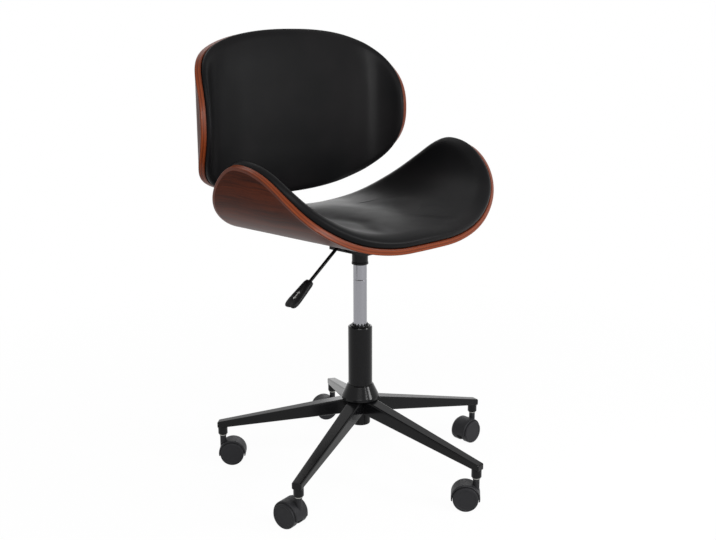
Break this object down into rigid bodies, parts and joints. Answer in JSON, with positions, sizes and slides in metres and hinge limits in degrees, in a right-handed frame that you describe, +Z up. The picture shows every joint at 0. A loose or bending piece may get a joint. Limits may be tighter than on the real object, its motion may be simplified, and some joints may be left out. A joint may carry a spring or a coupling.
{
  "type": "swivel chair",
  "caption": "Height-adjustable swivel chair with a bent plywood seat and back, black upholstered pads, a gas lift column and a five-star base on twin-wheel casters.",
  "frame": {"origin": "on the floor, on the column's vertical axis", "axes": "+Z up; the sitter faces -Y; +X is to the right of someone looking at the chair's front"},
  "size_m": [0.6172, 0.601, 0.9074],
  "materials": {
    "black_steel": "gloss black powder coat",
    "bright_steel": "plated steel",
    "lift_chrome": "satin chrome",
    "caster_nylon": "charcoal moulded nylon",
    "black_plastic": "black moulded plastic",
    "bolt_black": "black oxide",
    "walnut_veneer": "satin lacquered red-brown walnut veneer on plywood",
    "black_leather": "smooth black synthetic leather over foam"
  },
  "bodies": {
    "base": {"base_arm_1": "black_steel", "base_arm_2": "black_steel", "base_arm_3": "black_steel", "base_arm_4": "black_steel", "base_arm_5": "black_steel", "stem_socket_1": "black_steel", "stem_socket_2": "black_steel", "stem_socket_3": "black_steel", "stem_socket_4": "black_steel", "stem_socket_5": "black_steel", "caster_stem_1": "bright_steel", "caster_stem_2": "bright_steel", "caster_stem_3": "bright_steel", "caster_stem_4": "bright_steel", "caster_stem_5": "bright_steel", "hub_tube": "black_steel", "hub_collar": "black_steel", "outer_column": "black_steel", "guide_bush": "black_plastic"},
    "caster_1": {"caster_hood_1": "caster_nylon", "caster_axle_1": "bright_steel"},
    "wheel_1a": {"caster_wheel_1a": "caster_nylon"},
    "wheel_1b": {"caster_wheel_1b": "caster_nylon"},
    "caster_2": {"caster_hood_2": "caster_nylon", "caster_axle_2": "bright_steel"},
    "wheel_2a": {"caster_wheel_2a": "caster_nylon"},
    "wheel_2b": {"caster_wheel_2b": "caster_nylon"},
    "caster_3": {"caster_hood_3": "caster_nylon", "caster_axle_3": "bright_steel"},
    "wheel_3a": {"caster_wheel_3a": "caster_nylon"},
    "wheel_3b": {"caster_wheel_3b": "caster_nylon"},
    "caster_4": {"caster_hood_4": "caster_nylon", "caster_axle_4": "bright_steel"},
    "wheel_4a": {"caster_wheel_4a": "caster_nylon"},
    "wheel_4b": {"caster_wheel_4b": "caster_nylon"},
    "caster_5": {"caster_hood_5": "caster_nylon", "caster_axle_5": "bright_steel"},
    "wheel_5a": {"caster_wheel_5a": "caster_nylon"},
    "wheel_5b": {"caster_wheel_5b": "caster_nylon"},
    "lift_rod": {"piston_rod": "bright_steel", "thrust_bearing": "bright_steel", "retaining_clip": "bright_steel"},
    "seat": {"pressure_tube": "lift_chrome", "seat_plate": "black_steel", "taper_socket": "black_steel", "plate_bolts": "bolt_black", "bracket_bolts": "bolt_black", "seat_tee_nuts": "bright_steel", "lever_pivot_pin": "bright_steel", "seat_shell": "walnut_veneer", "seat_pad": "black_leather", "back_bracket": "black_steel", "back_spacers": "black_plastic", "back_bolts": "bolt_black", "back_tee_nuts": "bright_steel", "back_shell": "walnut_veneer", "back_pad": "black_leather"},
    "lever": {"lever_rod": "black_steel", "lever_knob": "black_plastic"},
    "release_pin": {"release_pin": "bright_steel"}
  },
  "joints": [
    {"name": "caster_swivel_1", "type": "hinge", "parent": "base", "child": "caster_1", "pos_m": [0.02065, -0.29528, 0.05], "axis": [0, 0, 1], "continuous": true},
    {"name": "wheel_spin_1a", "type": "hinge", "parent": "caster_1", "child": "wheel_1a", "pos_m": [0.00806, -0.27974, 0.025], "axis": [-0.7771, -0.6293, 0], "continuous": true},
    {"name": "wheel_spin_1b", "type": "hinge", "parent": "caster_1", "child": "wheel_1b", "pos_m": [0.00806, -0.27974, 0.025], "axis": [-0.7771, -0.6293, 0], "continuous": true},
    {"name": "caster_swivel_2", "type": "hinge", "parent": "base", "child": "caster_2", "pos_m": [0.28721, -0.07161, 0.05], "axis": [0, 0, 1], "continuous": true},
    {"name": "wheel_spin_2a", "type": "hinge", "parent": "caster_2", "child": "wheel_2a", "pos_m": [0.26722, -0.07091, 0.025], "axis": [-0.0349, -0.9994, 0], "continuous": true},
    {"name": "wheel_spin_2b", "type": "hinge", "parent": "caster_2", "child": "wheel_2b", "pos_m": [0.26722, -0.07091, 0.025], "axis": [-0.0349, -0.9994, 0], "continuous": true},
    {"name": "caster_swivel_3", "type": "hinge", "parent": "base", "child": "caster_3", "pos_m": [0.15686, 0.25102, 0.05], "axis": [0, 0, 1], "continuous": true},
    {"name": "wheel_spin_3a", "type": "hinge", "parent": "caster_3", "child": "wheel_3a", "pos_m": [0.13873, 0.25948, 0.025], "axis": [-0.4226, -0.9063, 0], "continuous": true},
    {"name": "wheel_spin_3b", "type": "hinge", "parent": "caster_3", "child": "wheel_3b", "pos_m": [0.13873, 0.25948, 0.025], "axis": [-0.4226, -0.9063, 0], "continuous": true},
    {"name": "caster_swivel_4", "type": "hinge", "parent": "base", "child": "caster_4", "pos_m": [-0.19026, 0.22675, 0.05], "axis": [0, 0, 1], "continuous": true},
    {"name": "wheel_spin_4a", "type": "hinge", "parent": "caster_4", "child": "wheel_4a", "pos_m": [-0.17588, 0.21286, 0.025], "axis": [0.6947, 0.7193, 0], "continuous": true},
    {"name": "wheel_spin_4b", "type": "hinge", "parent": "caster_4", "child": "wheel_4b", "pos_m": [-0.17588, 0.21286, 0.025], "axis": [0.6947, 0.7193, 0], "continuous": true},
    {"name": "caster_swivel_5", "type": "hinge", "parent": "base", "child": "caster_5", "pos_m": [-0.27445, -0.11088, 0.05], "axis": [0, 0, 1], "continuous": true},
    {"name": "wheel_spin_5a", "type": "hinge", "parent": "caster_5", "child": "wheel_5a", "pos_m": [-0.27792, -0.09119, 0.025], "axis": [-0.9848, -0.1736, 0], "continuous": true},
    {"name": "wheel_spin_5b", "type": "hinge", "parent": "caster_5", "child": "wheel_5b", "pos_m": [-0.27792, -0.09119, 0.025], "axis": [-0.9848, -0.1736, 0], "continuous": true},
    {"name": "seat_swivel", "type": "hinge", "parent": "base", "child": "lift_rod", "pos_m": [0, 0, 0.11], "axis": [0, 0, 1], "continuous": true},
    {"name": "seat_height", "type": "slide", "parent": "lift_rod", "child": "seat", "axis": [0, 0, 1], "range_m": [-0.11, 0]},
    {"name": "lever_lift", "type": "hinge", "parent": "seat", "child": "lever", "pos_m": [-0.028, 0.02, 0.482], "axis": [0, 1, 0], "range_deg": [0, 5], "stiffness_Nm_per_rad": 1.5, "springref_deg": -3.44},
    {"name": "release_press", "type": "slide", "parent": "seat", "child": "release_pin", "axis": [0, 0, -1], "range_m": [0, 0.0028]}
  ],
  "couplings": [
    {"joint": "release_press", "follows": "lever_lift", "m_per_rad": 0.028}
  ]
}
